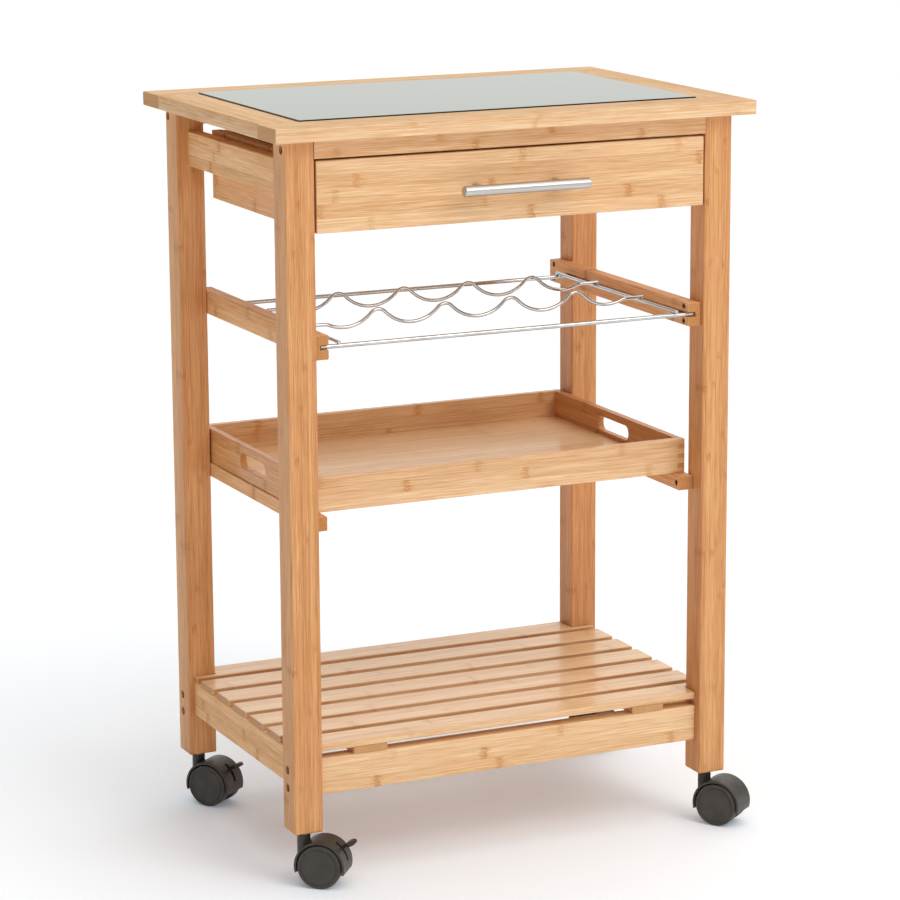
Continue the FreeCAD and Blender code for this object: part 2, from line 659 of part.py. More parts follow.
tray_x = leg_inner_x - TRAY_SIDE_GAP
tray_y = (leg_outer_y - TRAY_BACK_INSET - TRAY_DEPTH, leg_outer_y - TRAY_BACK_INSET)
tray_z = (tray_rail_top + TRAY_SEAT_GAP, tray_rail_top + TRAY_SEAT_GAP + TRAY_HEIGHT)
tray_inner_x = tray_x - TRAY_WALL
tray_inner_y = (tray_y[0] + TRAY_WALL, tray_y[1] - TRAY_WALL)
base_z = (tray_z[0] + TRAY_FLOOR_RISE, tray_z[0] + TRAY_FLOOR_RISE + TRAY_FLOOR_THICKNESS)
base_x = tray_inner_x + TRAY_FLOOR_BITE
base_y = (tray_inner_y[0] - TRAY_FLOOR_BITE, tray_inner_y[1] + TRAY_FLOOR_BITE)
tray = {"tray_base": block((-base_x, base_x), base_y, base_z)}
base_groove = block((-base_x - FIT_GAP, base_x + FIT_GAP), (base_y[0] - FIT_GAP, base_y[1] + FIT_GAP),
                    (base_z[0] - FIT_GAP, base_z[1] + FIT_GAP))


def round_long_edges(shape, radius, along):
    """Rounds the edges of a box that run along one axis."""
    edges = [edge for edge in shape.Edges if abs(edge.tangentAt(edge.FirstParameter).dot(along)) > 0.99]
    return shape.makeFillet(radius, edges)


for end in (FRONT, BACK):
    wall_y = (tray_y[0], tray_inner_y[0]) if end == FRONT else (tray_inner_y[1], tray_y[1])
    wall = round_long_edges(block((-tray_x, tray_x), wall_y, tray_z), TRAY_ROUND, X_AXIS).cut(base_groove)
    for side in (LEFT, RIGHT):
        post = (side * tray_inner_x, side * tray_x)
        wall = cut_all(wall, finger_cells(post, wall_y, tray_z, TRAY_FINGERS, 1))
    tray["tray_" + END_NAMES[end]] = wall
slot_middle_y = sum(tray_y) / 2
slot_middle_z = tray_z[0] + SLOT_RISE
slot_run = SLOT_LENGTH - SLOT_HEIGHT
for side in (LEFT, RIGHT):
    wall_x = (side * tray_inner_x, side * tray_x)
    wall = round_long_edges(block(wall_x, tray_y, tray_z), TRAY_ROUND, Y_AXIS)
    slot = block(wall_x, (slot_middle_y - slot_run / 2, slot_middle_y + slot_run / 2),
                 (slot_middle_z - SLOT_HEIGHT / 2, slot_middle_z + SLOT_HEIGHT / 2))
    for end in (FRONT, BACK):
        round_y = slot_middle_y + end * slot_run / 2
        round_ends = [V(x, round_y, slot_middle_z) for x in wall_x]
        slot = slot.fuse(rod(SLOT_HEIGHT, round_ends[0], round_ends[1]))
    wall = wall.cut(slot.removeSplitter())
    slot_mouth = [edge for edge in wall.Edges
                  if abs(edge.BoundBox.Center.y - slot_middle_y) < SLOT_LENGTH / 2
                  and edge.BoundBox.YLength < SLOT_LENGTH
                  and edge.BoundBox.XLength < FIT_GAP]
    wall = wall.makeFillet(SLOT_ROUND, slot_mouth).cut(base_groove)
    for wall_y in ((tray_y[0], tray_inner_y[0]), (tray_inner_y[1], tray_y[1])):
        wall = cut_all(wall, finger_cells(wall_x, wall_y, tray_z, TRAY_FINGERS, 0))
    tray["tray_" + SIDE_NAMES[side]] = wall

# Casters: a fixed stem in each leg, a hood that turns on it, an axle and a pair of wheels.
# They are drawn with the stem on the Z axis and the axle along Y, then turned and moved to the leg.

wheel_radius = WHEEL_DIAMETER / 2
axle_middle = V(CASTER_OFFSET, 0, wheel_radius)
barrel_top = CASTER_HEIGHT - COLLAR_HEIGHT - COLLAR_GAP
wheel_inner = CASTER_WEB / 2 + CASTER_SIDE_GAP
wheel_outer = wheel_inner + WHEEL_WIDTH
axle_half = wheel_inner + AXLE_BITE
cavity_radius = wheel_radius + HOOD_GAP
hood_radius = cavity_radius + HOOD_WALL
hood_half = wheel_outer - HOOD_SHORTFALL


def fan(radius, start, stop, half_width):
    """A round-edged slice about the axle between two angles above the level."""
    def at(angle):
        turn = math.radians(angle)
        return axle_middle + V(radius * math.cos(turn), -half_width, radius * math.sin(turn))

    corner = axle_middle - Y_AXIS * half_width
    rim = Part.Arc(at(start), at((start + stop) / 2), at(stop)).toShape()
    outline = Part.Wire([Part.makeLine(corner, at(start)), rim, Part.makeLine(at(stop), corner)])
    return Part.Face(outline).extrude(Y_AXIS * (2 * half_width))


def along_axle(diameter, start, stop):
    return rod(diameter, axle_middle + Y_AXIS * start, axle_middle + Y_AXIS * stop)


def lever_slot():
    """The room for a brake lever: its arm at both limits, all that lies between them, and its hub."""
    half = LEVER_THICKNESS / 2 + LEVER_SIDE_GAP
    arm_half = LEVER_ARM / 2 + LEVER_END_GAP
    lowest = LEVER_ANGLE - LEVER_DOWN_ANGLE
    highest = LEVER_ANGLE + LEVER_UP_ANGLE
    room = fan(2 * hood_radius, lowest, highest, half)
    for angle in (lowest, highest):
        arm = block((0, 2 * hood_radius), (-half, half), (-arm_half, arm_half))
        arm.rotate(V(0, 0, 0), Y_AXIS, -angle)
        arm.translate(axle_middle)
        room = room.fuse(arm)
    return room.fuse(along_axle(LEVER_HUB_DIAMETER + 2 * LEVER_SIDE_GAP, -half, half))


def make_hood(braked):
    shape = fan(hood_radius, -HOOD_END_ANGLE, 180 + HOOD_END_ANGLE, hood_half)
    shape = shape.makeFillet(HOOD_ROUND, [edge for edge in shape.Edges if edge.Length > 2 * hood_radius])
    shape = shape.fuse(along_axle(AXLE_BOSS_DIAMETER, -CASTER_WEB / 2, CASTER_WEB / 2))
    shape = shape.fuse(rod(BARREL_DIAMETER, V(0, 0, barrel_top - BARREL_HEIGHT), V(0, 0, barrel_top)))
    for side in (LEFT, RIGHT):
        shape = shape.cut(along_axle(2 * cavity_radius, side * CASTER_WEB / 2, side * 2 * hood_half))
    shape = shape.cut(along_axle(AXLE_DIAMETER + RUNNING_GAP, -hood_half, hood_half))
    stem_bottom = V(0, 0, barrel_top - STEM_REACH - COLLAR_GAP)
    shape = shape.cut(rod(STEM_DIAMETER + 2 * RUNNING_GAP, stem_bottom, V(0, 0, CASTER_HEIGHT)))
    if braked:
        shape = shape.cut(lever_slot())
    return whole(shape.removeSplitter())


def make_wheel(side):
    """A plain disc wheel with rounded edges, a ring line on its face and a blind bore."""
    bore = AXLE_DIAMETER / 2 + RUNNING_GAP
    start = axle_middle + Y_AXIS * (side * wheel_inner)
    stop = axle_middle + Y_AXIS * (side * wheel_outer)
    wheel = rod(WHEEL_DIAMETER, start, stop)
    wheel = wheel.makeFillet(WHEEL_ROUND, [edge for edge in wheel.Edges if edge.Length > WHEEL_DIAMETER])
    wheel = wheel.cut(rod(2 * bore, start, axle_middle + Y_AXIS * (side * (axle_half + AXLE_END_GAP))))
    ring_floor = stop - Y_AXIS * (side * WHEEL_RING_DEPTH)
    ring = rod(2 * WHEEL_RING_RADIUS, ring_floor, stop)
    ring = ring.cut(rod(2 * (WHEEL_RING_RADIUS - WHEEL_RING_WIDTH), ring_floor, stop))
    return wheel.cut(ring)


def make_paddle():
    """A leaf for the toe: thick in the middle and thin at its ends, rounded off in plan."""
    half_width = PADDLE_WIDTH / 2
    edge = PADDLE_EDGE / 2

    def at(x, z):
        return V(x, -half_width, z)

    lower = Part.Arc(at(0, -edge), at(PADDLE_LENGTH / 2, -PADDLE_THICKNESS / 2), at(PADDLE_LENGTH, -edge))
    upper = Part.Arc(at(PADDLE_LENGTH, edge), at(PADDLE_LENGTH / 2, PADDLE_THICKNESS / 2), at(0, edge))
    tip = Part.LineSegment(at(PADDLE_LENGTH, -edge), at(PADDLE_LENGTH, edge))
    root = Part.LineSegment(at(0, edge), at(0, -edge))
    outline = Part.Wire([piece.toShape() for piece in (lower, tip, upper, root)])
    leaf = Part.Face(outline).extrude(Y_AXIS * PADDLE_WIDTH)
    plan_z = (-PADDLE_THICKNESS, PADDLE_THICKNESS)
    round_x = (half_width, PADDLE_LENGTH - half_width)
    plan = block(round_x, (-half_width, half_width), plan_z)
    for x in round_x:
        plan = plan.fuse(rod(PADDLE_WIDTH, V(x, 0, plan_z[0]), V(x, 0, plan_z[1])))
    return leaf.common(plan.removeSplitter())


def make_lever():
    """A flat arm on the axle, with a paddle outside the hood that is bent down a little."""
    half = LEVER_THICKNESS / 2
    start = hood_radius + PADDLE_GAP
    hub = rod(LEVER_HUB_DIAMETER, V(0, -half, 0), V(0, half, 0))
    arm = block((0, start + PADDLE_EDGE), (-half, half), (-LEVER_ARM / 2, LEVER_ARM / 2))
    paddle = make_paddle()
    paddle.rotate(V(0, 0, 0), Y_AXIS, PADDLE_TILT_ANGLE)
    paddle.translate(X_AXIS * start)
    bore = rod(AXLE_DIAMETER + 2 * RUNNING_GAP, V(0, -half, 0), V(0, half, 0))
    lever = hub.fuse([arm, paddle]).cut(bore)
    lever.rotate(V(0, 0, 0), Y_AXIS, -LEVER_ANGLE)
    lever.translate(axle_middle)
    return whole(lever)


def make_stem():
    collar_bottom = CASTER_HEIGHT - COLLAR_HEIGHT
    collar = rod(COLLAR_DIAMETER, V(0, 0, collar_bottom), V(0, 0, CASTER_HEIGHT))
    pin = rod(STEM_DIAMETER, V(0, 0, barrel_top - STEM_REACH), V(0, 0, CASTER_HEIGHT + STEM_BITE))
    return collar.fuse(pin)


def at_corner(shape, end, side):
    """Turns a caster piece to its resting direction and moves it under its leg."""
    angle = FRONT_LEFT_CASTER_ANGLE if (end, side) == (FRONT, LEFT) else CASTER_ANGLE
    placed = shape.copy()
    placed.rotate(V(0, 0, 0), Z_AXIS, -angle)
    placed.translate(V(side * leg_mid_x, end * leg_mid_y, 0))
    return placed


stems = []
caster_nodes = {}
for end, side in CORNERS:
    corner = corner_name(end, side)
    braked = SIDE_NAMES[side] == BRAKED_SIDE
    axle = along_axle(AXLE_DIAMETER, -axle_half, axle_half)
    wheels = [at_corner(make_wheel(half), end, side) for half in (LEFT, RIGHT)]
    stems.append(at_corner(make_stem(), end, side))
    caster_nodes["caster_hood_" + corner] = [at_corner(make_hood(braked), end, side)]
    caster_nodes["caster_axle_" + corner] = [at_corner(axle, end, side)]
    caster_nodes["caster_wheels_" + corner] = wheels
    if braked:
        caster_nodes["brake_lever_" + corner] = [at_corner(make_lever(), end, side)]
    stem_hole = rod(STEM_DIAMETER + 2 * RUNNING_GAP, V(side * leg_mid_x, end * leg_mid_y, 0),
                    V(side * leg_mid_x, end * leg_mid_y, leg_bottom + STEM_BITE + FIT_GAP))
    drill(stem_hole, "leg_" + corner)

# Legs, with every hole that the other pieces asked for

legs = {}
for end, side in CORNERS:
    leg_x = (side * leg_inner_x, side * leg_outer_x)
    leg_y = (end * leg_inner_y, end * leg_outer_y)
    legs["leg_" + corner_name(end, side)] = soft_block(leg_x, leg_y, (leg_bottom, leg_top), LEG_ROUND)

os.makedirs("parts", exist_ok=True)
for group in (legs, top_rails, lower_rails, side_members, table, wine_rails):
    for name, shape in group.items():
        save(name, [drilled(name, shape)])
for group in (drawer, waves, tray):
    for name, shape in group.items():
        save(name, [shape])
for name, shapes in caster_nodes.items():
    save(name, shapes)
save("frame_bolts", bolts)
save("barrel_nuts", nuts)
save("frame_dowels", dowels)
save("wood_screws", screws)
save("shelf_slats", slats)
save("shelf_battens", battens)
save("drawer_runners", runners)
save("handle_bar", [handle_bar])
save("handle_posts", handle_posts)
save("handle_screws", handle_screws)
save("rack_cross_wires", cross_wires)
save("rack_side_wires", side_wires)
save("tray_rails", tray_rails)
save("caster_stems", stems)
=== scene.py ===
import math

import bmesh
import bpy
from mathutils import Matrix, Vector


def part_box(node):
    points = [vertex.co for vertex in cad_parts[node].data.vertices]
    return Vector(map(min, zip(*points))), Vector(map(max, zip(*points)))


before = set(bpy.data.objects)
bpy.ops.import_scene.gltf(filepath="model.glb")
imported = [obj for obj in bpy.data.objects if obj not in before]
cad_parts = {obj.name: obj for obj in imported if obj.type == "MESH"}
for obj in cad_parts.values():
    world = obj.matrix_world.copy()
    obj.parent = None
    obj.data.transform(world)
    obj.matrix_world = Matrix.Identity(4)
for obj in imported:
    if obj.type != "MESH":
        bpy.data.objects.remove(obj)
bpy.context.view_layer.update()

# Legs: four square bamboo posts, glued up from narrow upright strips, sanded and lacquered.
# The rails are bolted and dowelled between them, and each takes a caster stem in its foot.


class Shade:
    """A shader socket. Arithmetic on it adds Math nodes, and add() any other node, to its material."""

    def __init__(self, tree, socket=None):
        self.tree = tree
        self.socket = socket

    def add(self, kind, settings=None, inputs=None, out=0):
        """Adds a node: its settings first, then the value or the link of each socket."""
        node = self.tree.nodes.new(kind)
        for name, value in (settings or {}).items():
            setattr(node, name, value)
        for name, value in (inputs or {}).items():
            if isinstance(value, Shade):
                value.feed(node.inputs[name])
            else:
                node.inputs[name].default_value = value
        return Shade(self.tree, node.outputs[out])

    def feed(self, socket):
        """Links this value to a socket of another node."""
        self.tree.links.new(self.socket, socket)

    def out(self, name):
        """Another output of the node that this socket belongs to."""
        return Shade(self.tree, self.socket.node.outputs[name])

    def math(self, operation, *values):
        return self.add("ShaderNodeMath", {"operation": operation}, dict(enumerate(values)))

    def __add__(self, other):
        return self.math("ADD", self, other)

    def __radd__(self, other):
        return self.math("ADD", other, self)

    def __sub__(self, other):
        return self.math("SUBTRACT", self, other)

    def __rsub__(self, other):
        return self.math("SUBTRACT", other, self)

    def __mul__(self, other):
        return self.math("MULTIPLY", self, other)

    def __rmul__(self, other):
        return self.math("MULTIPLY", other, self)

    def __truediv__(self, other):
        return self.math("DIVIDE", self, other)

    def __rtruediv__(self, other):
        return self.math("DIVIDE", other, self)

    def __abs__(self):
        return self.math("ABSOLUTE", self)

    def fade(self, start, stop):
        """1 below start, falling softly to 0 at stop."""
        ends = {"Value": self, "From Min": start, "From Max": stop, "To Min": 1.0, "To Max": 0.0}
        return self.add("ShaderNodeMapRange", {"interpolation_type": "SMOOTHSTEP"}, ends)

    def rise(self, start, stop):
        """0 below start, growing softly to 1 at stop."""
        return 1 - self.fade(start, stop)

    def swing(self, amount):
        """A value about 0.5 turned into one about 0 that swings by the amount."""
        return (self - 0.5) * amount

    def mix(self, first, second):
        """The first colour where this is 0, the second where it is 1."""
        first_colour, second_colour, mixed_colour = 6, 7, 2
        ends = {"Factor": self, first_colour: first, second_colour: second}
        return self.add("ShaderNodeMix", {"data_type": "RGBA"}, ends, out=mixed_colour)

    def clamp(self):
        return self.add("ShaderNodeClamp", None, {0: self})

    def bump(self, strength, depth):
        """The slant of a surface that this value raises, by up to a depth in metres."""
        ends = {"Height": self, "Strength": strength, "Distance": depth}
        return self.add("ShaderNodeBump", None, ends)

    def noise(self, x, y, z, detail=2.0):
        """Cloudy noise about 0.5, one lump for each unit of the three coordinates."""
        place = self.add("ShaderNodeCombineXYZ", None, {"X": x, "Y": y, "Z": z})
        return self.add("ShaderNodeTexNoise", None, {"Vector": place, "Scale": 1.0, "Detail": detail})

    def chance(self, x, y, z):
        """Three chance numbers, Red, Green and Blue, that change only with the three whole counts."""
        place = self.add("ShaderNodeCombineXYZ", None, {"X": x, "Y": y, "Z": z})
        colour = self.add("ShaderNodeTexWhiteNoise", None, {"Vector": place}, out="Color")
        return self.add("ShaderNodeSeparateColor", None, {0: colour})

    def points(self, kind="Object"):
        """X, Y and Z of every point: its place in metres or, of the kind Normal, where its face looks."""
        return self.add("ShaderNodeSeparateXYZ", None, {0: self.add("ShaderNodeTexCoord", out=kind)})


def paint(code):
    """A colour written as #RRGGBB, as the linear values that shaders take."""
    levels = [int(code[i:i + 2], 16) / 255 for i in (1, 3, 5)]
    return tuple(v / 12.92 if v <= 0.04045 else ((v + 0.055) / 1.055) ** 2.4 for v in levels) + (1.0,)


def new_material(name):
    """A new material, a Shade to add its nodes with, and the sockets of its shader."""
    material = bpy.data.materials.new(name)
    material.use_nodes = True
    return material, Shade(material.node_tree), material.node_tree.nodes["Principled BSDF"].inputs


def dress(node, material):
    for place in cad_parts[node].material_slots:
        place.material = material


def bamboo(node, grain, across, strips, layers, tones, seed, marks=1.0, gloss=0.36, shine=0.32,
           lacquer=0.0, boards=1, gap=0.0):
    """Laminated bamboo along one axis: each strip has its own tone, fibres and knuckles.

    Strips are counted across one board and layers through it. Several boards lie side by side with a
    gap in mm between them; their faces in the gaps get painted shade, darkened towards the cut-end tone.
    The tones are pale, deep and rosy fibre, knuckle and cut end. Marks says how strongly the knuckles
    show, gloss is the least roughness, shine the specular level, and lacquer the weight of a clear coat.
    """
    low, high = [1000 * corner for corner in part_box(node)]
    size = dict(zip("XYZ", high - low))
    through = next(axis for axis in "XYZ" if axis not in (grain, across))
    pale, deep, rosy, knuckle_tone, end_and_gap_shade_tone = [paint(tone) for tone in tones]
    material, shade, skin = new_material(node)

    # Places are in mm from the lowest corner: along the grain, over the strips, and inward through them.
    surface = shade.add("ShaderNodeTexCoord", out="Object")
    to_mm = {0: surface, 1: (1000.0, 1000.0, 1000.0), 2: tuple(-low)}
    place = shade.add("ShaderNodeVectorMath", {"operation": "MULTIPLY_ADD"}, to_mm)
    place = shade.add("ShaderNodeSeparateXYZ", None, {0: place})
    along, over, inward = place.out(grain), place.out(across), place.out(through)
    facing = shade.points("Normal")
    square_on = {"start": 0.6, "stop": 0.95}

    # The counts are drawn in by a hair at both sides, so that outer faces don't lie on a border.
    board_hair = 0.001
    strip_hair = 0.002
    board_pitch = (size[across] + gap) / boards
    strip_width = (board_pitch - gap) / strips
    board = shade.math("FLOOR", over * (1 - 2 * board_hair) / board_pitch + board_hair)
    over_board = over - board * board_pitch
    strip_count = over_board * (1 - 2 * strip_hair) / strip_width + strip_hair * strips
    layer_count = (inward * (1 - 2 * strip_hair) / size[through] + strip_hair) * layers
    strip = shade.math("FLOOR", strip_count) + board * strips
    layer = shade.math("FLOOR", layer_count)
    luck = shade.chance(strip, layer, seed)
    tone, shift, reach = luck.out("Red"), luck.out("Green"), luck.out("Blue")

    # The wood: each strip has a tone of its own, crossed by fine and broad streaks and by rosy ones.
    def streaks(length, width, start, detail=2.0):
        """Noise drawn out along the grain, its sizes in mm, from another start in each strip."""
        return shade.noise(along / length + start, over / width, inward / width, detail)

    fibre = streaks(length=90, width=1.7, start=tone * 40, detail=3.0)
    thread = streaks(length=30, width=1.0, start=shift * 40)
    broad = streaks(length=210, width=6.5, start=reach * 25)
    blush = streaks(length=130, width=4, start=tone * 60)
    rosy_share = 0.4
    depth = tone.swing(0.45) + fibre.swing(1.9) + thread.swing(1.5) + broad.swing(0.55) + 0.5
    colour = depth.clamp().mix(pale, deep)
    colour = (blush.rise(0.42, 0.62) * rosy_share).mix(colour, rosy)

    # Glue seams between the strips, some fainter than others, on the faces where they come out.
    from_seam = (0.5 - abs(shade.math("FRACT", strip_count) - 0.5)) * strip_width
    seam = from_seam.fade(0.1, 0.5) * (1 - abs(facing.out(across))) * (0.3 + reach * 0.7)

    # Each stretch of a strip may have one knuckle: a swaying line of dashes in a feathered halo.
    knuckle_pitch = 200.0
    sway_width = 3
    sway_reach = 10
    knuckle_count = along / knuckle_pitch + shift * 7.0
    luck = shade.chance(strip, layer, shade.math("FLOOR", knuckle_count) + seed)
    from_knuckle = (shade.math("FRACT", knuckle_count) - 0.25 - luck.out("Red") * 0.5) * knuckle_pitch
    sway = shade.noise(over / sway_width, inward / sway_width, luck.out("Green") * 60).swing(sway_reach)
    from_knuckle = from_knuckle + sway
    off_knuckle = abs(from_knuckle)

    def flecks(length, width, start, detail=2.0):
        """Noise about a knuckle, its sizes in mm, from another start at each one."""
        return shade.noise(from_knuckle / length, over / width + start, inward / width, detail)

    dash = flecks(length=3.6, width=1.7, start=luck.out("Red") * 30, detail=3.0).rise(0.4, 0.58)
    feather = flecks(length=9, width=1.2, start=luck.out("Green") * 30).rise(0.45, 0.6)
    strength = luck.out("Blue").rise(0.15, 0.4) * (0.45 + luck.out("Green") * 0.55) * marks
    knuckle = off_knuckle.fade(1.2, 6.5) * dash * strength
    halo = off_knuckle.fade(1.0, 7.0) * 0.2 + off_knuckle.fade(3.0, 20.0) * feather * 0.35
    seam_share = 0.3
    knuckle_share = 0.8
    colour = (seam * seam_share + halo * strength).mix(colour, knuckle_tone)
    colour = (knuckle * knuckle_share).mix(colour, knuckle_tone)

    # Cut ends show the pores of the fibres.
    pore_width = 0.8
    pore_length = 9
    end_share = 0.8
    cut_end = abs(facing.out(grain)).rise(**square_on)
    pores = shade.noise(over / pore_width, inward / pore_width, along / pore_length)
    cut_colour = pores.fade(0.35, 0.6).mix(end_and_gap_shade_tone, deep)
    colour = (cut_end * end_share).mix(colour, cut_colour)
    # Faces in the gaps between boards are darkened towards the cut-end tone: painted shade.
    if boards > 1:
        gap_shade_share = 0.5
        from_rim = size[across] / 2 - abs(over - size[across] / 2)
        gap_shade = abs(facing.out(across)).rise(**square_on) * from_rim.rise(2.0, 6.0)
        colour = (gap_shade * gap_shade_share).mix(colour, end_and_gap_shade_tone)

    relief = thread * 0.5 + fibre * 0.4 - knuckle * 0.5 - seam * 0.6
    colour.feed(skin["Base Color"])
    (gloss + thread * 0.14 + broad * 0.08 + cut_end * 0.2).feed(skin["Roughness"])
    relief.bump(strength=0.12, depth=0.0004).feed(skin["Normal"])
    skin["Specular IOR Level"].default_value = shine
    if lacquer:
        ((1 - cut_end) * lacquer).feed(skin["Coat Weight"])
        skin["Coat Roughness"].default_value = 0.12
    dress(node, material)


LEG_TONES = ("#E6AF73", "#BE7D48", "#DB9566", "#AC6528", "#A0683C")
for number, leg in enumerate(("front_left", "front_right", "back_left", "back_right")):
    bamboo("leg_" + leg, grain="Z", across="X", strips=6, layers=2, tones=LEG_TONES,
           seed=number + 0.31, marks=0.6)

# Side frames: an apron under the table top and a lower rail on each side, dowelled between the legs.
# Flat boards of bamboo, their strips lying along the cart's depth.

SIDE_TONES = ("#FBD09B", "#D4995D", "#ECB07E", "#C37C34", "#BC8855")
for number, side in enumerate(("left", "right")):
    bamboo("apron_" + side, grain="Y", across="Z", strips=3, layers=1, tones=SIDE_TONES,
           seed=number + 4.1, shine=0.1)
    bamboo("lower_side_rail_" + side, grain="Y", across="Z", strips=3, layers=1, tones=SIDE_TONES,
           seed=number + 6.4, shine=0.1)

# Cross rails: bolted between the legs at the front and the back, two under the top, two under the shelf.
# The same bamboo boards, with their strips lying across the cart.

BOARD_TONES = ("#F2CDA0", "#CC9760", "#E4AE82", "#C37C34", "#BC8855")
# A paler copy of the board tones is painted light: it brightens the shelf slats, and the lower rails and
# the tray base take it too.
LIT_BOARD_TONES = ("#F8D9B0", "#D9A76F", "#EFBD93", "#C37C34", "#BC8855")
for number, end in enumerate(("front", "back")):
    bamboo("top_rail_" + end, grain="X", across="Z", strips=2, layers=1, tones=BOARD_TONES,
           seed=number + 8.7)
    bamboo("lower_rail_" + end, grain="X", across="Z", strips=3, layers=1, tones=LIT_BOARD_TONES,
           seed=number + 10.2)

# Fasteners of the frame: socket bolts with cross nuts, countersunk wood screws and beech dowels.
# Near-black steel, sunk in their holes; the dowels are plain turned beech inside the joints.


def metal(name, bright, dull, roughness, lumps, scratch):
    """A metal whose tone and gloss drift a little; lumps are the drift's sizes in mm along X, Y and Z."""
    material, shade, skin = new_material(name)
    place = shade.points()
    place = [place.out(axis) * (1000 / lump) for axis, lump in zip("XYZ", lumps)]
    drift = shade.noise(*place, detail=3.0)
    drift.fade(0.3, 0.7).mix(paint(dull), paint(bright)).feed(skin["Base Color"])
    (roughness + drift.swing(scratch)).feed(skin["Roughness"])
    drift.bump(strength=0.05, depth=0.0002).feed(skin["Normal"])
    skin["Metallic"].default_value = 1.0
    return material


near_black_steel = metal("near_black_steel", bright="#2E2B28", dull="#1C1A18", roughness=0.42,
                  lumps=(2.0, 2.0, 2.0), scratch=0.25)
for fastener in ("frame_bolts", "barrel_nuts", "wood_screws"):
    dress(fastener, near_black_steel)
BEECH_TONES = ("#E8CFA4", "#CDAA78", "#DDBB90", "#B8935F", "#A88656")
bamboo("frame_dowels", grain="Y", across="X", strips=40, layers=40, tones=BEECH_TONES, seed=12.5,
       marks=0.0)

# Table top: two long bamboo rails and two short ones between them, glued into a flat frame.
# A thin board closes the frame underneath and carries the glass.

# The table's tones are paler and greyer than the boards': partly the rails' own tone, partly painted
# sheen for the lacquer's glare on their tops.
TABLE_TONES_WITH_SHEEN = ("#F1D0A8", "#CB9964", "#E3B188", "#C4874C", "#BF9166")
for number, end in enumerate(("front", "back")):
    bamboo("table_rail_" + end, grain="X", across="Y", strips=3, layers=2, tones=TABLE_TONES_WITH_SHEEN,
           seed=number + 14.6, marks=0.45, gloss=0.6, shine=0.15)
for number, side in enumerate(("left", "right")):
    bamboo("table_rail_" + side, grain="Y", across="X", strips=3, layers=2, tones=TABLE_TONES_WITH_SHEEN,
           seed=number + 17.3, marks=0.45, gloss=0.6, shine=0.15)
bamboo("table_panel", grain="X", across="Y", strips=6, layers=1, tones=BOARD_TONES, seed=20.8,
       marks=0.3)

# Glass of the table top: a sheet of toughened glass, black behind and polished on top.
# It lies loose in the frame, a little proud of the rails, with a fine gap all round.

WIPES_PER_METRE = {"X": 9, "Y": 14, "Z": 9}
SPECKS_PER_METRE = 900
material, shade, skin = new_material("black_glass")
place = shade.points()
wipe = shade.noise(*[place.out(axis) * WIPES_PER_METRE[axis] for axis in "XYZ"], detail=3.0)
speck = shade.noise(*[place.out(axis) * SPECKS_PER_METRE for axis in "XYZ"])
wipe.fade(0.4, 0.75).mix(paint("#0C0D0D"), paint("#060707")).feed(skin["Base Color"])
(0.015 + wipe * 0.02 + speck * 0.01).feed(skin["Roughness"])
skin["IOR"].default_value = 1.52
dress("table_glass", material)

# Bottom shelf: seven slats across the cart, screwed from below to two battens.
# The first and the last slat are notched round the legs.

# The slats' end tone also paints shade on their faces in the gaps, and their paler tones are painted
# light.
SLAT_END_AND_GAP_SHADE = "#A05A24"
bamboo("shelf_slats", grain="X", across="Y", strips=2, layers=1, tones=LIT_BOARD_TONES[:4] + (SLAT_END_AND_GAP_SHADE,),
       seed=22.4, marks=0.4, gloss=0.24, lacquer=0.35, boards=7, gap=12.0)
bamboo("shelf_battens", grain="Y", across="X", strips=30, layers=1, tones=BOARD_TONES, seed=24.9)

# Drawer: a bamboo front, two grooved sides and a back let into them, round a thin floor.
# It hangs on two strips, screwed to the aprons, which run in the grooves of its sides.

bamboo("drawer_front", grain="X", across="Z", strips=5, layers=1, tones=BOARD_TONES, seed=27.2)
# A darker, redder copy of the board tones is painted shade: the drawer sides take it for the aprons'
# shade over them, and the rails of the rack and the tray take it too.
SHADED_BOARD_TONES = ("#F4C28E", "#CF8F55", "#E6A576", "#B97436", "#A8703F")
for number, side in enumerate(("left", "right")):
    bamboo("drawer_side_" + side, grain="Y", across="Z", strips=5, layers=1, tones=SHADED_BOARD_TONES,
           seed=number + 29.5, shine=0.1)
bamboo("drawer_back", grain="X", across="Z", strips=5, layers=1, tones=BOARD_TONES, seed=32.1)
bamboo("drawer_bottom", grain="X", across="Y", strips=4, layers=1, tones=BOARD_TONES, seed=34.6,
       marks=0.3)
bamboo("drawer_runners", grain="Y", across="X", strips=30, layers=1, tones=BOARD_TONES, seed=36.3)

# Drawer handle: a round steel bar on two posts, brushed along its length.
# Two screws hold it from inside the drawer front.

brushed_bar = metal("brushed_bar", bright="#C8C5C0", dull="#B6B2AC", roughness=0.36,
                    lumps=(60.0, 0.7, 0.7), scratch=0.08)
brushed_post = metal("brushed_post", bright="#CFCBC5", dull="#B8B3AB", roughness=0.28,
                     lumps=(0.9, 25.0, 0.9), scratch=0.12)
dress("handle_bar", brushed_bar)
dress("handle_posts", brushed_post)
dress("handle_screws", near_black_steel)

# Rails of the wire rack and of the tray: bamboo strips screwed to the legs' inner faces.
# The rack's rails have a groove along their inner faces, open at the front.

# The rails take the darker copy of the board tones, which paints shade on them.
for number, side in enumerate(("left", "right")):
    bamboo("wine_rail_" + side, grain="Y", across="Z", strips=2, layers=1, tones=SHADED_BOARD_TONES,
           seed=number + 38.4, shine=0.1)
bamboo("tray_rails", grain="Y", across="Z", strips=1, layers=60, tones=SHADED_BOARD_TONES, seed=41.7, shine=0.1)

# Wire rack: chromed steel, two cross wires that run in the grooves, two side wires on them,
# and two waves on those with a row of round seats. Every crossing is resistance welded.

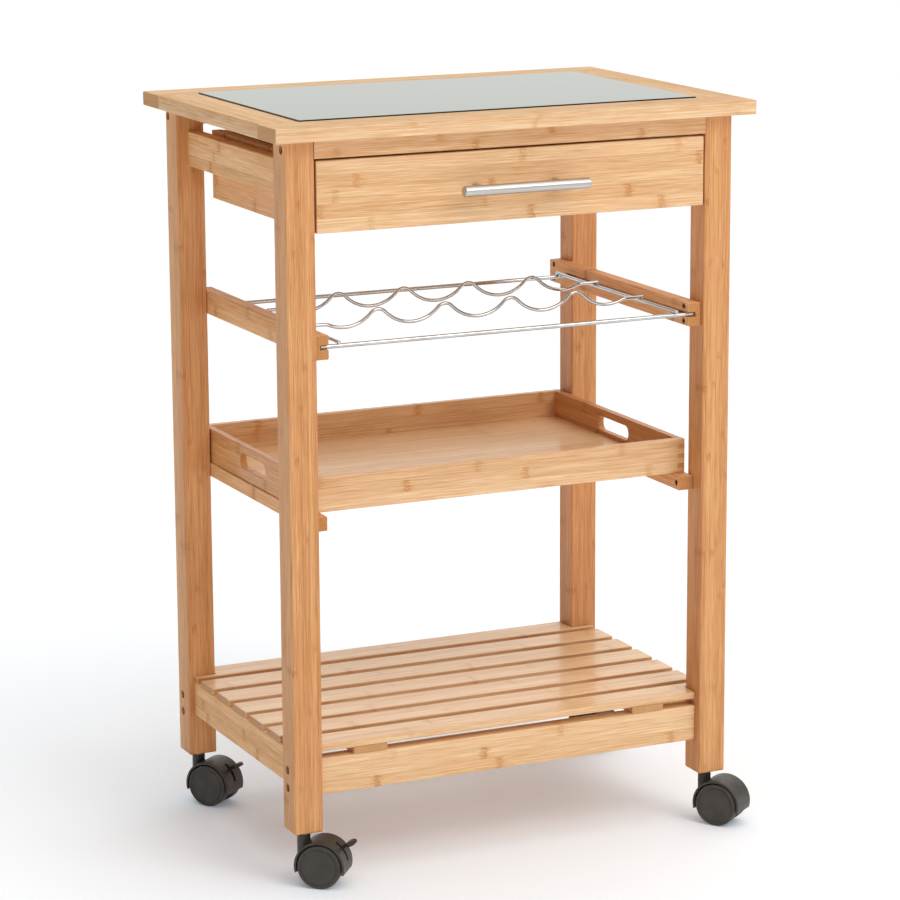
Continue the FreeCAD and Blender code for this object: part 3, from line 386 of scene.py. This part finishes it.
bright_chrome = metal("bright_chrome", bright="#C9CACB", dull="#B6B7B8", roughness=0.08,
                      lumps=(30.0, 30.0, 30.0), scratch=0.06)
for wires in ("rack_cross_wires", "rack_side_wires", "rack_wave_front", "rack_wave_back"):
    dress(wires, bright_chrome)

# Tray: four thin bamboo walls, finger jointed at the corners, round a thin base.
# A rounded hand slot in each side wall serves for lifting it out.

for number, end in enumerate(("front", "back")):
    bamboo("tray_" + end, grain="X", across="Z", strips=3, layers=1, tones=BOARD_TONES,
           seed=number + 43.2, lacquer=0.35)
TRAY_SIDE_END = "#D09A66"
# The side walls take the darker leg tones, painted shade for their place between the legs.
for number, side in enumerate(("left", "right")):
    bamboo("tray_" + side, grain="Y", across="Z", strips=3, layers=1,
           tones=LEG_TONES[:4] + (TRAY_SIDE_END,), seed=number + 45.6, shine=0.1, lacquer=0.3)
bamboo("tray_base", grain="X", across="Y", strips=4, layers=1, tones=LIT_BOARD_TONES, seed=48.9, marks=0.2,
       lacquer=0.3)

# Casters: nylon mouldings, a hood and twin wheels each, dark brown-black with a fine matt grain.
# Steel stems stand in the legs, steel axles carry the wheels, and the left two have a brake lever.


def moulded(name, lit, dark, roughness):
    """A nylon moulding: its tone and gloss drift in clouds, under the fine grain of the mould."""
    grains_per_metre = 1600
    clouds_per_metre = 55
    material, shade, skin = new_material(name)
    place = shade.points()
    grain = shade.noise(*[place.out(axis) * grains_per_metre for axis in "XYZ"])
    cloud = shade.noise(*[place.out(axis) * clouds_per_metre for axis in "XYZ"], detail=3.0)
    tone = cloud * 0.7 + grain * 0.3
    tone.fade(0.3, 0.7).mix(paint(dark), paint(lit)).feed(skin["Base Color"])
    (roughness + cloud.swing(0.2)).feed(skin["Roughness"])
    grain.bump(strength=0.12, depth=0.0002).feed(skin["Normal"])
    return material


nylon_hood = moulded("nylon_hood", lit="#423A33", dark="#302A25", roughness=0.42)
nylon_wheel = moulded("nylon_wheel", lit="#454039", dark="#36312C", roughness=0.55)
nylon_lever = moulded("nylon_lever", lit="#332D28", dark="#26211D", roughness=0.45)
bright_zinc = metal("bright_zinc", bright="#B9BABA", dull="#8F9090", roughness=0.35,
                    lumps=(3.0, 3.0, 3.0), scratch=0.2)
dress("caster_stems", bright_zinc)
for corner in ("front_left", "front_right", "back_left", "back_right"):
    dress("caster_hood_" + corner, nylon_hood)
    dress("caster_wheels_" + corner, nylon_wheel)
    dress("caster_axle_" + corner, bright_zinc)
for corner in ("front_left", "back_left"):
    dress("brake_lever_" + corner, nylon_lever)

# Floor of the studio: a wide white disc, matt and laid level under the casters.
# It glows a little, less near the cart than further out, so that it runs into the white backdrop.

FLOOR_RADIUS = 30.0
NEAR_GLOW = (0.1, 0.12, 0.15, 1.0)
FAR_GLOW = (0.25, 0.26, 0.28, 1.0)
CLOUDS_PER_METRE = 3
floor_mesh = bpy.data.meshes.new("floor")
edit = bmesh.new()
bmesh.ops.create_circle(edit, cap_ends=True, segments=96, radius=FLOOR_RADIUS)
edit.to_mesh(floor_mesh)
edit.free()
floor = bpy.data.objects.new("floor", floor_mesh)
bpy.context.scene.collection.objects.link(floor)
material, shade, skin = new_material("pale_floor")
place = shade.points()
right, back, up = [place.out(axis) for axis in "XYZ"]
drift = shade.noise(right * CLOUDS_PER_METRE, back * CLOUDS_PER_METRE, up)
drift.mix(paint("#F2F4F7"), paint("#EFF1F4")).feed(skin["Base Color"])
from_middle = shade.math("SQRT", right * right + back * back)
from_middle.rise(0.1, 1.1).mix(NEAR_GLOW, FAR_GLOW).feed(skin["Emission Color"])
skin["Emission Strength"].default_value = 1.0
skin["Roughness"].default_value = 0.9
skin["Specular IOR Level"].default_value = 0.1
floor_mesh.materials.append(material)

# Light of the studio: a broad bright panel overhead in a dim room, with a white band round the horizon
# and a white backdrop behind the cart. A round soft light stands at the front right.

OVERHEAD = (0.15, -0.3, 0.94)
OVERHEAD_GLOW = (1.5, 1.48, 1.44, 1.0)
ROOM_GLOW = (0.1, 0.11, 0.12, 1.0)
HORIZON_GLOW = (1.04, 1.04, 1.04, 1.0)
BACKDROP = (0.43, 0.9, 0.1)
BACKDROP_GLOW = (1.13, 1.16, 1.1, 1.0)
world = bpy.data.worlds.new("studio_sky")
world.use_nodes = True
bpy.context.scene.world = world
sky = Shade(world.node_tree)
outward = sky.add("ShaderNodeTexCoord", out="Generated")
above, behind = [
    sky.add("ShaderNodeVectorMath", {"operation": "DOT_PRODUCT"}, {0: outward, 1: way}, out="Value")
    for way in (OVERHEAD, BACKDROP)]
height = sky.add("ShaderNodeSeparateXYZ", None, {0: outward}).out("Z")
glow = above.fade(0.5, 0.95).mix(OVERHEAD_GLOW, ROOM_GLOW)
glow = height.fade(0.04, 0.13).mix(glow, HORIZON_GLOW)
glow = behind.fade(0.45, 0.85).mix(BACKDROP_GLOW, glow)
glow.feed(world.node_tree.nodes["Background"].inputs["Color"])

LIGHT_PLACE = Vector((1.05, -2.85, 2.7))
LIGHT_AIM = Vector((0.0, 0.0, 0.45))
lamp = bpy.data.lights.new("front_light", "AREA")
lamp.shape = "DISK"
lamp.size = 2.2
lamp.energy = 38.0
lamp.color = (1.0, 0.97, 0.93)
front_light = bpy.data.objects.new("front_light", lamp)
front_light.location = LIGHT_PLACE
front_light.rotation_euler = (LIGHT_AIM - LIGHT_PLACE).to_track_quat("-Z", "Y").to_euler()
bpy.context.scene.collection.objects.link(front_light)

# Camera: a long lens, higher than the table top, at the photograph's place in front of the cart and
# to its left. It has no shift, so that views from other sides keep the cart in the frame.

CAMERA_PLACE = (-1.62387, -3.50229, 1.28627)
CAMERA_DEGREES = (77.583, 0.314, -24.994)
camera = bpy.data.cameras.new("camera")
camera.sensor_width = 36.0
camera.lens = 136.33
viewer = bpy.data.objects.new("camera", camera)
viewer.location = CAMERA_PLACE
viewer.rotation_euler = [math.radians(turn) for turn in CAMERA_DEGREES]
bpy.context.scene.collection.objects.link(viewer)
bpy.context.scene.camera = viewer
bpy.context.scene.view_settings.view_transform = "Standard"
